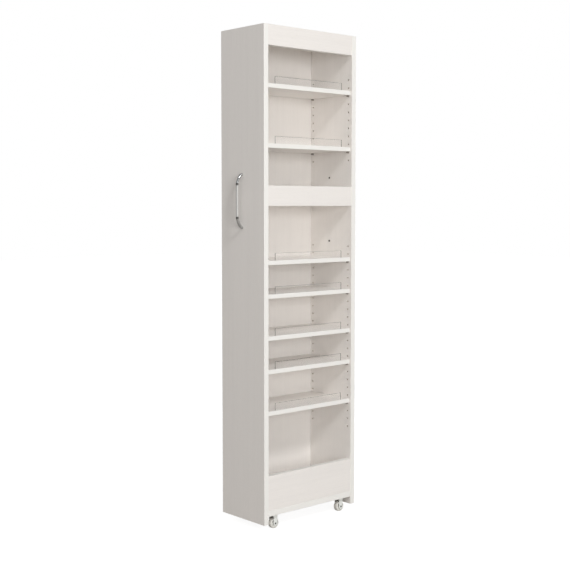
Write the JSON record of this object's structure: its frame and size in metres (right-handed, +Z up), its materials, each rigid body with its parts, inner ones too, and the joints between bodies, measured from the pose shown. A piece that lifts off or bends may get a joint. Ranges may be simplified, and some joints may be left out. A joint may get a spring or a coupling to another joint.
{
  "type": "rolling pantry cart",
  "caption": "Tall slim shelf cart on small casters, closed back, open long side, adjustable shelves with clear guard strips, and a bow handle on one narrow end.",
  "frame": {"origin": "on the floor, under the middle of the whole cart, handle included", "axes": "+Z up; +X from the handle end to the far end; the open side faces -Y and the closed back +Y"},
  "size_m": [0.402, 0.2, 1.502],
  "materials": {
    "white_board": "white wood-grain foil, satin",
    "clear_guard": "clear, polished edges",
    "chrome": "polished",
    "satin_metal": "satin",
    "dark_steel": "dark oxide",
    "caster_plastic": "moulded, satin",
    "wheel_plastic": "moulded, satin",
    "dowel_wood": "bare fluted wood"
  },
  "bodies": {
    "cabinet": {"handle_end_panel": "white_board", "far_end_panel": "white_board", "back_panel": "white_board", "top_board": "white_board", "top_fascia": "white_board", "middle_shelf": "white_board", "middle_fascia": "white_board", "bottom_board": "white_board", "bottom_fascia": "white_board", "shelf_1": "white_board", "shelf_2": "white_board", "shelf_3": "white_board", "shelf_4": "white_board", "shelf_5": "white_board", "shelf_6": "white_board", "shelf_7": "white_board", "guard_1": "clear_guard", "guard_2": "clear_guard", "guard_3": "clear_guard", "guard_4": "clear_guard", "guard_5": "clear_guard", "guard_6": "clear_guard", "guard_7": "clear_guard", "handle_grip": "satin_metal", "handle_end_upper": "chrome", "handle_end_lower": "chrome", "handle_bolt_upper": "dark_steel", "handle_bolt_lower": "dark_steel", "far_screw_upper": "dark_steel", "far_screw_lower": "dark_steel", "dowel_top_handle_front": "dowel_wood", "dowel_top_handle_rear": "dowel_wood", "dowel_top_far_front": "dowel_wood", "dowel_top_far_rear": "dowel_wood", "dowel_middle_handle_front": "dowel_wood", "dowel_middle_handle_rear": "dowel_wood", "dowel_middle_far_front": "dowel_wood", "dowel_middle_far_rear": "dowel_wood", "dowel_bottom_handle_front": "dowel_wood", "dowel_bottom_handle_rear": "dowel_wood", "dowel_bottom_far_front": "dowel_wood", "dowel_bottom_far_rear": "dowel_wood", "caster_handle_front_fork": "caster_plastic", "caster_handle_front_axle": "dark_steel", "caster_handle_rear_fork": "caster_plastic", "caster_handle_rear_axle": "dark_steel", "caster_far_front_fork": "caster_plastic", "caster_far_front_axle": "dark_steel", "caster_far_rear_fork": "caster_plastic", "caster_far_rear_axle": "dark_steel"},
    "wheel_handle_front": {"caster_handle_front_wheel": "wheel_plastic"},
    "wheel_handle_rear": {"caster_handle_rear_wheel": "wheel_plastic"},
    "wheel_far_front": {"caster_far_front_wheel": "wheel_plastic"},
    "wheel_far_rear": {"caster_far_rear_wheel": "wheel_plastic"}
  },
  "joints": [
    {"name": "wheel_handle_front_spin", "type": "hinge", "parent": "cabinet", "child": "wheel_handle_front", "pos_m": [-0.1205, -0.075, 0.016], "axis": [0, 1, 0], "continuous": true},
    {"name": "wheel_handle_rear_spin", "type": "hinge", "parent": "cabinet", "child": "wheel_handle_rear", "pos_m": [-0.1205, 0.075, 0.016], "axis": [0, 1, 0], "continuous": true},
    {"name": "wheel_far_front_spin", "type": "hinge", "parent": "cabinet", "child": "wheel_far_front", "pos_m": [0.156, -0.075, 0.016], "axis": [0, 1, 0], "continuous": true},
    {"name": "wheel_far_rear_spin", "type": "hinge", "parent": "cabinet", "child": "wheel_far_rear", "pos_m": [0.156, 0.075, 0.016], "axis": [0, 1, 0], "continuous": true}
  ]
}
